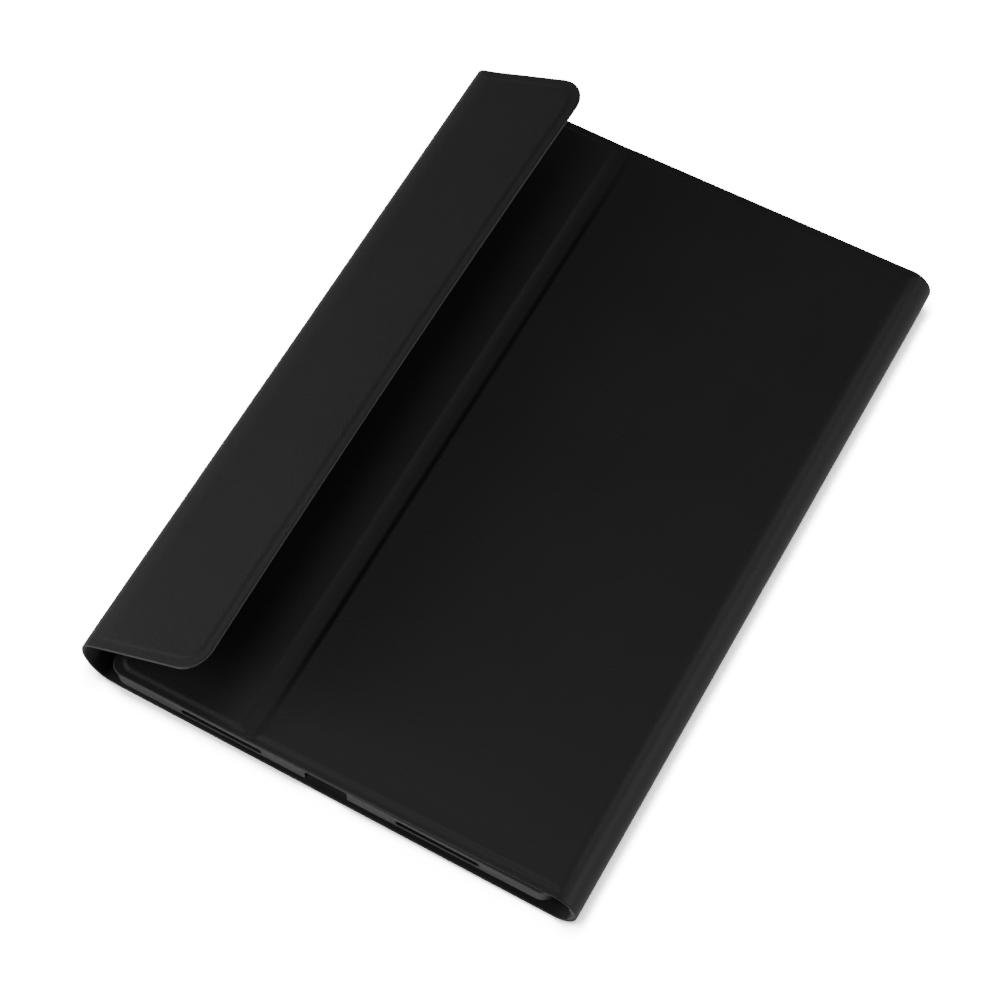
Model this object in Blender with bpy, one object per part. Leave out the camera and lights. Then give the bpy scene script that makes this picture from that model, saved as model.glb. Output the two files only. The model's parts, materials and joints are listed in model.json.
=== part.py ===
"""Tablet keyboard case: a folding cover with a closure flap, a stand, a tablet tray and a keyboard.

The case lies closed on its front cover with the closure flap half open. Units in the constants are
millimetres. X runs from the flap (-X) to the spine (+X), Y along the long side, +Z up. The origin is on
the floor under the middle of the case.
"""

import math

import bmesh
import bpy
from mathutils import Vector

MM = 0.001

# Whole case
HALF_LENGTH = 127.0
MARGIN = 3.0
EDGE_GAP = 0.2

# Layers of a panel, measured outwards (n) from the outer face of its flat margin
SKIN = 0.5
LINING = 0.4
LAYER_GAP = 0.1
BOARD = 0.7
CAP_HEIGHT = 0.8
CAP_BEVEL = 0.7
CAP_WALL = 0.5
CORNER = 0.4
PIECE_GAP = 0.15

# Fold lines as (x, z) on the outer face
SPINE_LOWER_FOLD = (80.2, 0.0)
SPINE_UPPER_FOLD = (79.9, 16.3)
STRIP_FOLDS = ((-77.5, 0.0), (-85.2, 6.0), (-87.4, 13.4), (-82.8, 20.6))
STAND_FOLD = (-24.9, 11.2)

# How much each depth narrows a link of the soft strip at its two ends, so that the folds can close
STRIP_TRIMS = ((0.45, 0.45), (0.45, 0.5), (0.5, 1.0))

# Front cover
FRONT_BOARD = 0.8
FRONT_CAP = 1.9
FRONT_BOARD_INSET = 2.8
FRONT_BOARD_CORNER = 5.0

# Spine, half an ellipse seen from its end
SPINE_CENTRE = (80.2, 8.2)
SPINE_RADII = (7.9, 8.2)
SPINE_STEPS = 12
SPINE_SKIN_ANGLES = (-85.0, 86.0)
SPINE_BOARD_ANGLES = (-48.0, 48.0)
SPINE_LINING_ANGLES = (-62.0, 62.0)

# Closure flap
FLAP_ANGLE = 28.6
FLAP_LENGTH = 46.0
FLAP_CORNER = 9.0
FLAP_START = 0.8
FLAP_BOARD_START = 7.0
FLAP_BOARD_CORNER = 4.0
FLAP_MAGNET_Y = (62.0, -62.0)
FLAP_MAGNET_SIZE = (10.0, 20.0)
FLAP_MAGNET_S = 36.0

# Stand panel, from the groove to the spine
STAND_START = (-24.7, 11.45)
STAND_ANGLE = 2.61
STAND_LENGTH = 104.3
STAND_BOARD_SPAN = (1.4, 103.0)
STAND_BOARD_CORNER = 4.0

# Tablet tray, with its outer left edge as the start of its own line
TRAY_START = (-75.6, 9.25)
TRAY_ANGLE = 1.2
TRAY_WIDTH = 154.5
TRAY_HALF_LENGTH = 126.6
TRAY_DEPTH = 6.6
TRAY_WALL = 1.2
TRAY_FLOOR = 1.1
TRAY_LIP = 1.3
TRAY_LIP_THICKNESS = 0.8
TRAY_CORNER = 8.0
TRAY_CHAMFER = 0.5
SLOT_HEIGHTS = (-5.2, -2.5)
SLOT_SPANS = ((24.9, 53.9), (101.0, 130.2))
NOTCH_SPAN = (69.2, 84.1)
NOTCH_ROOF_GAP = 0.1

# Small panel glued to the tray
SMALL_START = -1.4
SMALL_END = 45.4
SMALL_SKIN_END = 46.0
SMALL_CORNER = 4.5
SMALL_BOARD_CORNER = 6.0
SMALL_BASE = 0.3
GLUE_HEIGHTS = (0.05, 0.2)
GLUE_SPAN = (1.5, 44.4)
GLUE_INSET = 5.0
GROOVE_START = 46.3
GROOVE_END = 50.6
KEEPER_SIZE = (12.0, 150.0)
KEEPER_S = 38.0

# Keyboard
KEYBOARD_X = (-69.5, 30.5)
KEYBOARD_HALF_LENGTH = 119.0
KEYBOARD_CORNER = 5.0
KEYBOARD_FLOOR = 2.3
KEYBOARD_FLOOR_THICKNESS = 0.6
KEYBOARD_RIM = 5.2
KEYBOARD_WALL = 1.0
FRAME_Z = (5.3, 6.0)
FRAME_CHAMFER = 0.3
TAPE_Z = (2.0, 2.2)
TAPE_INSET = 4.0
CIRCUIT_Z = (3.0, 3.3)
MEMBRANE_Z = (3.4, 3.6)
CIRCUIT_INSET = 3.0
CIRCUIT_BACK_X = 21.5

# Keys
KEY_BASE_Z = 4.9
KEY_TOP_Z = 7.0
KEY_CHAMFER = 0.35
KEY_WEB = 0.3
KEY_WEB_HALF = 2.0
KEY_GAP = 2.2
KEY_CLEARANCE = 0.3
ROW_PITCH = 15.6
FUNCTION_ROW_PITCH = 10.0
UNIT = 229.0 / 13.5
KEYS_FRONT_X = -66.0
KEYS_LEFT_Y = 114.5

# Strip behind the keys, with its fittings
BATTERY_X = (23.4, 28.6)
BATTERY_Y = (-20.0, 60.0)
BATTERY_Z = (3.0, 5.0)
SOCKET_X = (24.0, 30.3)
SOCKET_Y = (-98.0, -90.4)
SOCKET_Z = (3.1, 5.0)
SOCKET_WALL = 0.35
SOCKET_BACK = 0.6
SOCKET_GAP = 0.2
SWITCH_PLACE = (26.4, -70.0)
SWITCH_TRAVEL = 2.4
SWITCH_THUMB = (1.0, 1.8)
SWITCH_FLANGE = (2.2, 3.4)
SWITCH_HEIGHTS = (4.5, 5.0, 6.4, 6.7)
SWITCH_PIVOT_Z = 5.0
LENS_PLACE = (26.4, -56.0)
LENS_HALF = (0.8, 1.8)
LENS_Z = (5.3, 6.05)
FITTING_GAP = 0.3

# Each row, front to back, as (name, first key's start in units, key width in units, how many)
KEY_ROWS = (
    (
        ("key_left_control", 0.0, 1.25, 1),
        ("key_function", 1.25, 1.0, 1),
        ("key_left_option", 2.25, 1.0, 1),
        ("key_left_command", 3.25, 1.0, 1),
        ("key_space", 4.25, 4.25, 1),
        ("key_right_option", 8.5, 1.0, 1),
        ("key_right_control", 9.5, 1.0, 1),
        ("key_arrow_left", 10.5, 1.0, 1),
        ("key_arrow_down", 11.5, 1.0, 1),
        ("key_arrow_right", 12.5, 1.0, 1),
    ),
    (
        ("key_left_shift", 0.0, 2.0, 1),
        ("keys_bottom_letters", 2.0, 1.0, 9),
        ("key_arrow_up", 11.0, 1.0, 1),
        ("key_right_shift", 12.0, 1.5, 1),
    ),
    (
        ("key_caps_lock", 0.0, 1.5, 1),
        ("keys_middle_letters", 1.5, 1.0, 10),
        ("key_enter", 11.5, 2.0, 1),
    ),
    (
        ("key_tab", 0.0, 1.25, 1),
        ("keys_top_letters", 1.25, 1.0, 11),
        ("key_backslash", 12.25, 1.25, 1),
    ),
    (
        ("keys_numbers", 0.0, 1.0, 12),
        ("key_backspace", 12.0, 1.5, 1),
    ),
    (("keys_function_row", 0.0, 13.5 / 14, 14),),
)

# Colours as (red, green, blue), then roughness and metallic
FINISHES = {
    "outer_skin": ((0.012, 0.012, 0.013), 0.55, 0.0),
    "lining": ((0.020, 0.020, 0.022), 0.9, 0.0),
    "board": ((0.035, 0.035, 0.037), 0.85, 0.0),
    "magnet": ((0.55, 0.55, 0.56), 0.3, 1.0),
    "steel": ((0.5, 0.5, 0.5), 0.35, 1.0),
    "tape": ((0.6, 0.6, 0.58), 0.6, 0.0),
    "tray_plastic": ((0.05, 0.05, 0.053), 0.5, 0.0),
    "keyboard_plastic": ((0.02, 0.02, 0.022), 0.45, 0.0),
    "key_plastic": ((0.015, 0.015, 0.016), 0.5, 0.0),
    "circuit": ((0.02, 0.12, 0.06), 0.5, 0.0),
    "membrane": ((0.5, 0.5, 0.52), 0.7, 0.0),
    "battery": ((0.45, 0.46, 0.48), 0.35, 0.0),
    "lens": ((0.8, 0.85, 0.8), 0.2, 0.0),
}


def clear_scene():
    for item in list(bpy.data.objects):
        bpy.data.objects.remove(item, do_unlink=True)


def finish(name):
    """The material of this name, made the first time it is asked for."""
    made = bpy.data.materials.get(name)
    if made:
        return made
    colour, roughness, metallic = FINISHES[name]
    made = bpy.data.materials.new(name)
    made.use_nodes = True
    shader = made.node_tree.nodes["Principled BSDF"]
    shader.inputs["Base Color"].default_value = (*colour, 1.0)
    shader.inputs["Roughness"].default_value = roughness
    shader.inputs["Metallic"].default_value = metallic
    made.diffuse_color = (*colour, 1.0)
    return made


class Line:
    """A straight run across the case: s along it, y along the case, n out of its left side."""

    def __init__(self, start, angle):
        turn = math.radians(angle)
        self.start = start
        self.along = (math.cos(turn), math.sin(turn))

    def point(self, s, y, n):
        x0, z0 = self.start
        cos, sin = self.along
        return Vector((x0 + s * cos - n * sin, y, z0 + s * sin + n * cos))


FLAT = Line((0.0, 0.0), 0.0)
FRONT = Line(SPINE_LOWER_FOLD, 180.0)
FRONT_LENGTH = SPINE_LOWER_FOLD[0] - STRIP_FOLDS[0][0]
FLAP = Line(STRIP_FOLDS[3], FLAP_ANGLE)
STAND = Line(STAND_START, STAND_ANGLE)
TRAY = Line(TRAY_START, TRAY_ANGLE)


def pivot(name, at, parent=None):
    """An empty on a fold line or at a key, at (x, y, z)."""
    empty = bpy.data.objects.new(name, None)
    empty.empty_display_size = 0.01
    bpy.context.collection.objects.link(empty)
    place = Vector(at) * MM
    empty["place"] = place
    empty.parent = parent
    empty.location = place - Vector(parent["place"]) if parent else place
    return empty


def add_mesh(name, mesh, body, slot, cutter=False):
    """An object on a body's pivot, from a bmesh in millimetres in the case's frame."""
    centre = Vector(body["place"])
    bmesh.ops.scale(mesh, vec=(MM, MM, MM), verts=mesh.verts)
    bmesh.ops.translate(mesh, vec=-centre, verts=mesh.verts)
    bmesh.ops.recalc_face_normals(mesh, faces=mesh.faces)
    data = bpy.data.meshes.new(name)
    mesh.to_mesh(data)
    mesh.free()
    made = bpy.data.objects.new(name, data)
    bpy.context.collection.objects.link(made)
    made.parent = body
    if cutter:
        made.hide_render = True
        made.display_type = "WIRE"
    else:
        data.materials.append(finish(slot))
    return made


def arc(centre, radius, start, end, steps):
    points = []
    for i in range(steps + 1):
        turn = math.radians(start + (end - start) * i / steps)
        points.append((centre[0] + radius * math.cos(turn), centre[1] + radius * math.sin(turn)))
    return points


def rounded(s0, s1, half, radius, steps=4, end_radius=None):
    """A rectangle with round corners, from s0 to s1 and half wide each way, as (s, y) points."""
    r = radius
    e = radius if end_radius is None else end_radius
    return (
        arc((s1 - e, half - e), e, 0, 90, steps)
        + arc((s0 + r, half - r), r, 90, 180, steps)
        + arc((s0 + r, -half + r), r, 180, 270, steps)
        + arc((s1 - e, -half + e), e, 270, 360, steps)
    )


def flap_outline(start, inset, back_radius, steps=5):
    """The flap's outline: square or rounded at the fold, with round corners at its free edge."""
    half = HALF_LENGTH - inset
    end = FLAP_LENGTH - inset
    r = FLAP_CORNER - inset
    b = back_radius
    far = arc((end - r, half - r), r, 0, 90, steps)
    near = arc((end - r, -half + r), r, 270, 360, steps)
    back = arc((start + b, half - b), b, 90, 180, 3) + arc((start + b, -half + b), b, 180, 270, 3)
    return far + back + near


def tube_between(rings):
    """A closed bmesh through rings of matching (x, y, z) points."""
    mesh = bmesh.new()
    loops = [[mesh.verts.new(point) for point in ring] for ring in rings]
    for low, high in zip(loops, loops[1:]):
        count = len(low)
        for i in range(count):
            j = (i + 1) % count
            mesh.faces.new((low[i], low[j], high[j], high[i]))
    mesh.faces.new(loops[0])
    mesh.faces.new(loops[-1])
    bmesh.ops.recalc_face_normals(mesh, faces=mesh.faces)
    return mesh


def loft(line, rings):
    """A closed bmesh through rings of matching points, each ring as (outline, n) on a line."""
    return tube_between([[line.point(s, y, n) for s, y in outline] for outline, n in rings])


def block(line, s_span, y_span, n_span):
    """A plain box bmesh, for cutters and small hidden pieces."""
    (s0, s1), (y0, y1) = s_span, y_span
    outline = [(s0, y0), (s1, y0), (s1, y1), (s0, y1)]
    return loft(line, [(outline, n_span[0]), (outline, n_span[1])])


def around(centre, half, grow=0.0):
    """The (x, y) corners of a rectangle about a centre, from its half sizes."""
    x, y = centre
    a, b = half[0] + grow, half[1] + grow
    return [(x + a, y + b), (x - a, y + b), (x - a, y - b), (x + a, y - b)]


def merge(meshes):
    """One bmesh that holds several, which stay separate shells."""
    whole = bmesh.new()
    for mesh in meshes:
        data = bpy.data.meshes.new("temporary")
        mesh.to_mesh(data)
        mesh.free()
        whole.from_mesh(data)
        bpy.data.meshes.remove(data)
    return whole


def boolean(target, other, operation):
    step = target.modifiers.new(operation.lower(), "BOOLEAN")
    step.operation = operation
    step.solver = "EXACT"
    step.object = other


def cut(target, meshes, body):
    """Take closed shapes out of an object."""
    cutter = add_mesh(target.name + "_cutter", merge(meshes), body, None, cutter=True)
    boolean(target, cutter, "DIFFERENCE")


def capped_sheet(line, margin, board, pocket, heights):
    """A sheet formed over a board: heights are its base, margin face, cap face and pocket roof."""
    base, face, cap, roof = heights
    top = board(CAP_BEVEL)
    return loft(
        line,
        [(pocket, roof), (pocket, base), (margin, base), (margin, face), (board(0.0), face), (top, cap)],
    )


def add_panel(prefix, body, line, outline, board_outline):
    """Skin, board and lining of a panel whose board stands proud on the outer face."""
    skin = capped_sheet(
        line,
        outline(0.0),
        board_outline,
        board_outline(CAP_WALL),
        (-SKIN, 0.0, CAP_HEIGHT, CAP_HEIGHT - SKIN),
    )
    add_mesh(prefix + "_skin", skin, body, "outer_skin")
    inner = board_outline(CAP_WALL + LAYER_GAP)
    board_top = CAP_HEIGHT - SKIN - LAYER_GAP
    board = loft(line, [(inner, board_top - BOARD), (inner, board_top)])
    board_object = add_mesh(prefix + "_board", board, body, "board")
    lining_top = -SKIN - LAYER_GAP
    inner = outline(EDGE_GAP)
    lining = loft(line, [(inner, lining_top - LINING), (inner, lining_top)])
    add_mesh(prefix + "_lining", lining, body, "lining")
    return board_object


def front_cover(body):
    start, end = EDGE_GAP, FRONT_LENGTH - EDGE_GAP
    board_start, board_end = start + FRONT_BOARD_INSET, end - FRONT_BOARD_INSET
    board_half = HALF_LENGTH - MARGIN

    def outline(inset):
        return rounded(start + inset, end - inset, HALF_LENGTH - inset, CORNER)

    def board_outline(inset):
        corner = FRONT_BOARD_CORNER - inset
        return rounded(board_start + inset, board_end - inset, board_half - inset, corner)

    skin = loft(FRONT, [(outline(0.0), -SKIN), (outline(0.0), 0.0)])
    add_mesh("front_cover_skin", skin, body, "outer_skin")
    low = -SKIN - LAYER_GAP
    inner = board_outline(CAP_WALL + LAYER_GAP)
    board = loft(FRONT, [(inner, low - FRONT_BOARD), (inner, low)])
    add_mesh("front_cover_board", board, body, "board")
    heights = (low, low - LINING, -FRONT_CAP, low - FRONT_BOARD - LAYER_GAP)
    lining = capped_sheet(FRONT, outline(LAYER_GAP), board_outline, board_outline(CAP_WALL), heights)
    add_mesh("front_cover_lining", lining, body, "lining")


def strip_link(number, body, start, end, trims):
    """One straight link of the soft strip under the flap: its skin and its lining."""
    run = Vector(end) - Vector(start)
    line = Line(start, math.degrees(math.atan2(run.y, run.x)))
    length = run.length

    def layer(outer, inner):
        """The link's section between two depths, narrower towards the inside of the folds."""
        rings = []
        for depth in (outer, inner):
            a = EDGE_GAP + depth * trims[0]
            b = length - EDGE_GAP - depth * trims[1]
            corners = ((a, -HALF_LENGTH), (b, -HALF_LENGTH), (b, HALF_LENGTH), (a, HALF_LENGTH))
            rings.append((corners, -depth))
        return loft(line, rings)

    add_mesh(f"flap_strip_skin_{number}", layer(0.0, SKIN), body, "outer_skin")
    inside = SKIN + LAYER_GAP
    add_mesh(f"flap_strip_lining_{number}", layer(inside, inside + LINING), body, "lining")


def closure_flap(body):
    def outline(inset):
        return flap_outline(FLAP_START + inset, inset, CORNER)

    def board_outline(inset):
        return flap_outline(FLAP_BOARD_START + inset, MARGIN + inset, FLAP_BOARD_CORNER - inset)

    board = add_panel("flap", body, FLAP, outline, board_outline)
    top = CAP_HEIGHT - SKIN - LAYER_GAP
    length, width = FLAP_MAGNET_SIZE
    windows = []
    for side, y in zip(("left", "right"), FLAP_MAGNET_Y):
        s0, s1 = FLAP_MAGNET_S - length / 2, FLAP_MAGNET_S + length / 2
        y0, y1 = y - width / 2, y + width / 2
        windows.append(block(FLAP, (s0, s1), (y0, y1), (top - BOARD - 1, top + 1)))
        s0, s1, y0, y1 = s0 + PIECE_GAP, s1 - PIECE_GAP, y0 + PIECE_GAP, y1 - PIECE_GAP
        magnet = block(FLAP, (s0, s1), (y0, y1), (top - BOARD, top))
        add_mesh(f"flap_magnet_{side}", magnet, body, "magnet")
    cut(board, windows, body)


def spine_band(angles, outer, inner, half):
    """A strip along the spine's curve between two depths and two angles, half long each way."""
    cx, cz = SPINE_CENTRE
    rx, rz = SPINE_RADII
    start, end = angles
    rows = {outer: [], inner: []}
    for depth, row in rows.items():
        for i in range(SPINE_STEPS + 1):
            turn = math.radians(start + (end - start) * i / SPINE_STEPS)
            row.append((cx + (rx - depth) * math.cos(turn), cz + (rz - depth) * math.sin(turn)))
    section = rows[outer] + rows[inner][::-1]
    mesh = bmesh.new()
    ends = []
    for y in (-half, half):
        ends.append([mesh.verts.new((x, y, z)) for x, z in section])
    count = len(section)
    for i in range(count):
        j = (i + 1) % count
        mesh.faces.new((ends[0][i], ends[0][j], ends[1][j], ends[1][i]))
    for i in range(SPINE_STEPS):
        j = count - 1 - i
        for side in ends:
            mesh.faces.new((side[i], side[i + 1], side[j - 1], side[j]))
    return mesh


def spine(body):
    skin = spine_band(SPINE_SKIN_ANGLES, 0.0, SKIN, HALF_LENGTH)
    add_mesh("spine_skin", skin, body, "outer_skin")
    inside = SKIN + LAYER_GAP
    board = spine_band(SPINE_BOARD_ANGLES, inside, inside + BOARD, HALF_LENGTH - MARGIN)
    add_mesh("spine_board", board, body, "board")
    inside += BOARD + LAYER_GAP
    lining = spine_band(SPINE_LINING_ANGLES, inside, inside + LINING, HALF_LENGTH)
    add_mesh("spine_lining", lining, body, "lining")


def stand_panel(body):
    board_start, board_end = STAND_BOARD_SPAN
    board_half = HALF_LENGTH - MARGIN

    def outline(inset):
        return rounded(EDGE_GAP + inset, STAND_LENGTH - EDGE_GAP - inset, HALF_LENGTH - inset, CORNER)

    def board_outline(inset):
        corner = STAND_BOARD_CORNER - inset
        return rounded(board_start + inset, board_end - inset, board_half - inset, corner)

    add_panel("stand_panel", body, STAND, outline, board_outline)


def tablet_panel(body):
    """The small panel, glued to the tray's back, and the skin of the groove beside it."""
    base, face = SMALL_BASE, SMALL_BASE + SKIN
    cap = face + CAP_HEIGHT
    board_start = SMALL_START + MARGIN
    board_half = HALF_LENGTH - MARGIN

    def board_outline(inset):
        corner = SMALL_BOARD_CORNER - inset
        return rounded(board_start + inset, SMALL_END - inset, board_half - inset, corner)

    margin = rounded(SMALL_START, SMALL_SKIN_END, HALF_LENGTH, SMALL_CORNER, end_radius=CORNER)
    heights = (base, face, cap, cap - SKIN)
    skin = capped_sheet(TRAY, margin, board_outline, board_outline(CAP_WALL), heights)
    add_mesh("tablet_panel_skin", skin, body, "outer_skin")
    top = cap - SKIN - LAYER_GAP
    inner = board_outline(CAP_WALL + LAYER_GAP)
    board_mesh = loft(TRAY, [(inner, top - BOARD), (inner, top)])
    board = add_mesh("tablet_panel_board", board_mesh, body, "board")
    length, width = KEEPER_SIZE
    s0, s1 = KEEPER_S - length / 2, KEEPER_S + length / 2
    half = width / 2
    cut(board, [block(TRAY, (s0, s1), (-half, half), (top - BOARD - 1, top + 1))], body)
    s0, s1, half = s0 + PIECE_GAP, s1 - PIECE_GAP, half - PIECE_GAP
    keeper = block(TRAY, (s0, s1), (-half, half), (top - BOARD, top))
    add_mesh("closure_keeper_plate", keeper, body, "steel")
    glue = rounded(*GLUE_SPAN, HALF_LENGTH - GLUE_INSET, GLUE_INSET)
    low, high = GLUE_HEIGHTS
    add_mesh("tray_adhesive", loft(TRAY, [(glue, low), (glue, high)]), body, "tape")
    groove = rounded(GROOVE_START, GROOVE_END, HALF_LENGTH, CORNER)
    add_mesh("groove_skin", loft(TRAY, [(groove, base), (groove, face)]), body, "outer_skin")


def end_slot(s_span, heights, y_span):
    """A bmesh of a slot with round ends through the tray's end wall."""
    (a, b), (low, high) = s_span, heights
    radius = (high - low) / 2
    outline = arc((b - radius, low + radius), radius, -90, 90, 5)
    outline += arc((a + radius, low + radius), radius, 90, 270, 5)
    return tube_between([[TRAY.point(s, y, n) for s, n in outline] for y in y_span])


def tablet_tray(body):
    """An open tray with a lip that holds the tablet, speaker slots and a port notch on one end."""

    def outline(inset):
        return rounded(inset, TRAY_WIDTH - inset, TRAY_HALF_LENGTH - inset, TRAY_CORNER - inset, 5)

    wall = TRAY_WALL
    lip = TRAY_WALL + TRAY_LIP
    lip_top = TRAY_LIP_THICKNESS - TRAY_DEPTH
    shell = loft(
        TRAY,
        [
            (outline(TRAY_CHAMFER), 0.0),
            (outline(0.0), -TRAY_CHAMFER),
            (outline(0.0), -TRAY_DEPTH + TRAY_CHAMFER),
            (outline(TRAY_CHAMFER), -TRAY_DEPTH),
            (outline(lip), -TRAY_DEPTH),
            (outline(lip), lip_top),
            (outline(wall), lip_top),
            (outline(wall), -TRAY_FLOOR),
        ],
    )
    tray = add_mesh("tablet_tray", shell, body, "tray_plastic")
    outside = -TRAY_HALF_LENGTH - 5
    notch_end = (outside, -TRAY_HALF_LENGTH + lip + 1)
    openings = [block(TRAY, NOTCH_SPAN, notch_end, (-TRAY_DEPTH - 3, -TRAY_FLOOR - NOTCH_ROOF_GAP))]
    slot_end = (outside, -TRAY_HALF_LENGTH + wall + 2)
    for span in SLOT_SPANS:
        openings.append(end_slot(span, SLOT_HEIGHTS, slot_end))
    cut(tray, openings, body)


def key_row_centre(row):
    """The x of a row's middle, and its pitch."""
    x = KEYS_FRONT_X + row * ROW_PITCH
    pitch = FUNCTION_ROW_PITCH if row == len(KEY_ROWS) - 1 else ROW_PITCH
    return x + pitch / 2, pitch


def key_places(row, start, units, count):
    """(x, y, half depth, half width) of each key cap in a run of equal keys."""
    x, pitch = key_row_centre(row)
    half_depth = (pitch - KEY_GAP) / 2
    half_width = (units * UNIT - KEY_GAP) / 2
    places = []
    for i in range(count):
        y = KEYS_LEFT_Y - (start + units * (i + 0.5)) * UNIT
        places.append((x, y, half_depth, half_width))
    return places


def key_cap(place):
    x, y, half_depth, half_width = place
    half = (half_depth, half_width)
    rings = [
        (around((x, y), half), KEY_BASE_Z),
        (around((x, y), half), KEY_TOP_Z - KEY_CHAMFER),
        (around((x, y), half, -KEY_CHAMFER), KEY_TOP_Z),
    ]
    return loft(FLAT, rings)


def add_keys(root):
    """Every key or run of equal keys, each on its own pivot, and the list of all cap places."""
    every = []
    web_z = (KEY_BASE_Z + 0.02, KEY_BASE_Z + KEY_WEB)
    for row, runs in enumerate(KEY_ROWS):
        for name, start, units, count in runs:
            places = key_places(row, start, units, count)
            every += places
            x = places[0][0]
            middle = (places[0][1] + places[-1][1]) / 2
            body = pivot(name + "_pivot", (x, middle, KEY_BASE_Z), root)
            caps = add_mesh(name, merge([key_cap(place) for place in places]), body, "key_plastic")
            if count > 1:
                span = (places[-1][1] - KEY_WEB_HALF, places[0][1] + KEY_WEB_HALF)
                web = block(FLAT, (x - KEY_WEB_HALF, x + KEY_WEB_HALF), span, web_z)
                link = add_mesh(name + "_web", web, body, None, cutter=True)
                boolean(caps, link, "UNION")
    return every


def keyboard_outline(inset):
    x0, x1 = KEYBOARD_X
    half = KEYBOARD_HALF_LENGTH - inset
    return rounded(x0 + inset, x1 - inset, half, KEYBOARD_CORNER - inset)


def keyboard_base(root):
    """The tape that holds the keyboard down, and its tub with a window for the charge socket."""
    outline = keyboard_outline
    tape = outline(TAPE_INSET)
    add_mesh("keyboard_tape", loft(FLAT, [(tape, TAPE_Z[0]), (tape, TAPE_Z[1])]), root, "tape")
    low, inside = KEYBOARD_FLOOR, KEYBOARD_FLOOR + KEYBOARD_FLOOR_THICKNESS
    shell = loft(
        FLAT,
        [
            (outline(KEYBOARD_FLOOR_THICKNESS), low),
            (outline(0.0), inside),
            (outline(0.0), KEYBOARD_RIM),
            (outline(KEYBOARD_WALL), KEYBOARD_RIM),
            (outline(KEYBOARD_WALL), inside),
        ],
    )
    base = add_mesh("keyboard_base", shell, root, "keyboard_plastic")
    edge = KEYBOARD_X[1]
    y_span = (SOCKET_Y[0] - SOCKET_GAP, SOCKET_Y[1] + SOCKET_GAP)
    z_span = (SOCKET_Z[0] - 0.1, SOCKET_Z[1] + 0.1)
    cut(base, [block(FLAT, (edge - 3, edge + 3), y_span, z_span)], root)


def keyboard_frame(root, key_places_taken):
    """The top frame, with a well for each key and slots for the power switch and the status lens."""
    low, high = FRAME_Z
    rings = [
        (keyboard_outline(0.0), low),
        (keyboard_outline(0.0), high - FRAME_CHAMFER),
        (keyboard_outline(FRAME_CHAMFER), high),
    ]
    frame = add_mesh("keyboard_frame", loft(FLAT, rings), root, "keyboard_plastic")
    tall = (low - 1, high + 1)
    wells = []
    for x, y, half_depth, half_width in key_places_taken:
        a, b = half_depth + KEY_CLEARANCE, half_width + KEY_CLEARANCE
        wells.append(block(FLAT, (x - a, x + a), (y - b, y + b), tall))
    x, y = SWITCH_PLACE
    a, b = SWITCH_THUMB[0] + FITTING_GAP, SWITCH_THUMB[1] + FITTING_GAP
    wells.append(block(FLAT, (x - a, x + a), (y - b, y + b + SWITCH_TRAVEL), tall))
    x, y = LENS_PLACE
    a, b = LENS_HALF[0] + FITTING_GAP, LENS_HALF[1] + FITTING_GAP
    wells.append(block(FLAT, (x - a, x + a), (y - b, y + b), tall))
    cut(frame, wells, root)


def power_switch(root):
    """A thumb slide on a flange that stays under the frame."""
    body = pivot("power_switch_pivot", (*SWITCH_PLACE, SWITCH_PIVOT_Z), root)
    under, shoulder, side, top = SWITCH_HEIGHTS
    flange = around(SWITCH_PLACE, SWITCH_FLANGE)
    thumb = around(SWITCH_PLACE, SWITCH_THUMB)
    crown = around(SWITCH_PLACE, SWITCH_THUMB, -FITTING_GAP)
    rings = [(flange, under), (flange, shoulder), (thumb, shoulder), (thumb, side), (crown, top)]
    add_mesh("power_switch", loft(FLAT, rings), body, "key_plastic")


def charge_socket(root):
    """A metal cup that opens in the keyboard's back edge."""
    (y0, y1), (z0, z1), w = SOCKET_Y, SOCKET_Z, SOCKET_WALL
    mouth = [(y0, z0), (y1, z0), (y1, z1), (y0, z1)]
    hollow = [(y0 + w, z0 + w), (y1 - w, z0 + w), (y1 - w, z1 - w), (y0 + w, z1 - w)]
    back, front = SOCKET_X
    runs = ((mouth, back), (mouth, front), (hollow, front), (hollow, back + SOCKET_BACK))
    rings = [[(x, y, z) for y, z in ring] for ring, x in runs]
    add_mesh("charge_socket", tube_between(rings), root, "steel")


def keyboard(root):
    keyboard_base(root)
    keyboard_frame(root, add_keys(root))
    (x, y), (a, b) = LENS_PLACE, LENS_HALF
    lens = block(FLAT, (x - a, x + a), (y - b, y + b), LENS_Z)
    add_mesh("status_lens", lens, root, "lens")
    power_switch(root)
    x0 = KEYBOARD_X[0] + CIRCUIT_INSET
    half, corner = KEYBOARD_HALF_LENGTH - CIRCUIT_INSET, KEYBOARD_CORNER - CIRCUIT_INSET
    circuit = rounded(x0, CIRCUIT_BACK_X, half, corner)
    for name, (low, high), slot in (
        ("keyboard_circuit_board", CIRCUIT_Z, "circuit"),
        ("key_membrane", MEMBRANE_Z, "membrane"),
    ):
        add_mesh(name, loft(FLAT, [(circuit, low), (circuit, high)]), root, slot)
    add_mesh("keyboard_battery", block(FLAT, BATTERY_X, BATTERY_Y, BATTERY_Z), root, "battery")
    charge_socket(root)


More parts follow.
